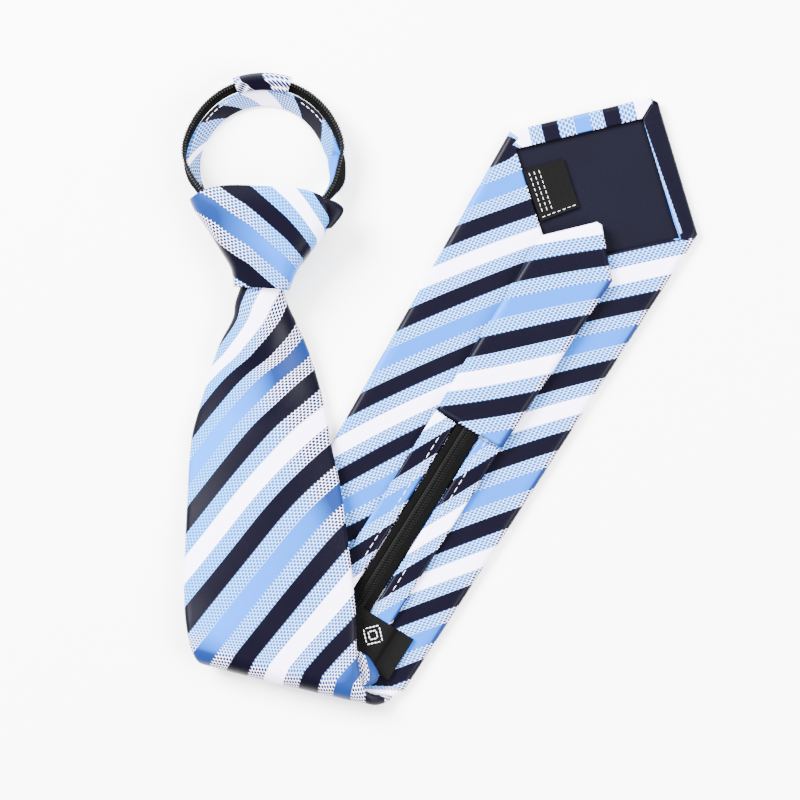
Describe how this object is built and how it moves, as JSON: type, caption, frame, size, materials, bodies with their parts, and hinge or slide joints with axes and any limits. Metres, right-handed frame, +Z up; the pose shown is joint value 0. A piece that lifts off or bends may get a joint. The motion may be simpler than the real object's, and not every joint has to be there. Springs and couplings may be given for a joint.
{
  "type": "zipper tie",
  "caption": "Pre-tied striped necktie with a knot, a zip neck loop, a pull tail and a wide pointed blade folded back on itself, lying flat.",
  "frame": {"origin": "centre of the bounding box in plan, on the surface that the tie lies on", "axes": "+Y from the blade's fold towards the neck loop, the longest extent; +Z up from the surface, the shortest extent; +X to the right as seen from above with the neck loop at the top"},
  "size_m": [0.1923, 0.2349, 0.024],
  "materials": {
    "stripe_cloth": "satin woven stripes in navy, light blue, blue and white check, and white",
    "lining_cloth": "plain dark navy twill",
    "label_satin": "black satin, no words",
    "zip_tape": "black woven tape",
    "zip_coil": "black plastic coil",
    "slider_plastic": "plain dark slider, hidden in the knot"
  },
  "bodies": {
    "root": {"blade": "stripe_cloth", "tip_lining": "lining_cloth", "care_label": "label_satin", "tail_strip_left": "stripe_cloth", "tail_strip_right": "stripe_cloth", "tail_tape_left": "zip_tape", "tail_tape_right": "zip_tape", "zip_chain": "zip_coil", "tail_tab": "stripe_cloth", "keeper_label": "label_satin", "neck_strip": "stripe_cloth", "neck_tape_left": "zip_tape", "neck_tape_right": "zip_tape", "neck_coil_left": "zip_coil", "neck_coil_right": "zip_coil", "neck_keeper": "stripe_cloth", "knot_wrap": "stripe_cloth", "knot_core": "stripe_cloth", "zip_slider": "slider_plastic"}
  },
  "joints": []
}
